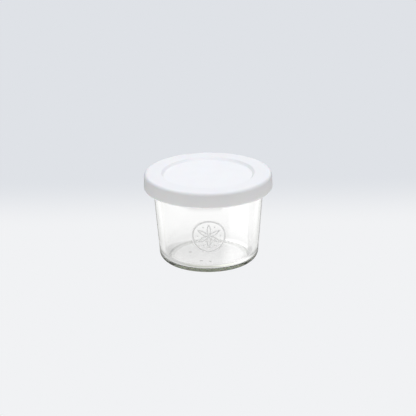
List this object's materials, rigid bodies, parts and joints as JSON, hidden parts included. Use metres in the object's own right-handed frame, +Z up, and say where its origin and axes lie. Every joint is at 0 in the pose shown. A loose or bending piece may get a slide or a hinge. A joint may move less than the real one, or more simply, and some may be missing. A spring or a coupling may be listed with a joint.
{
  "type": "glass jar",
  "caption": "Small clear glass storage jar, tapered, with a round moulded ornament on its front, closed by a white plastic push-on cover with a sunken top.",
  "frame": {"origin": "centre of the jar's footprint, on the surface that it stands on", "axes": "+Z up along the axis that both pieces are turned about; -Y towards the front, where the moulded roundel is"},
  "size_m": [0.07, 0.07, 0.049],
  "materials": {
    "clear_glass": "clear soda-lime glass, smooth, with a fire-polished rim and a faint green tint where it is thick",
    "white_plastic": "opaque white polyethylene, satin"
  },
  "bodies": {
    "root": {"glass_jar": "clear_glass", "plastic_cover": "white_plastic"}
  },
  "joints": []
}
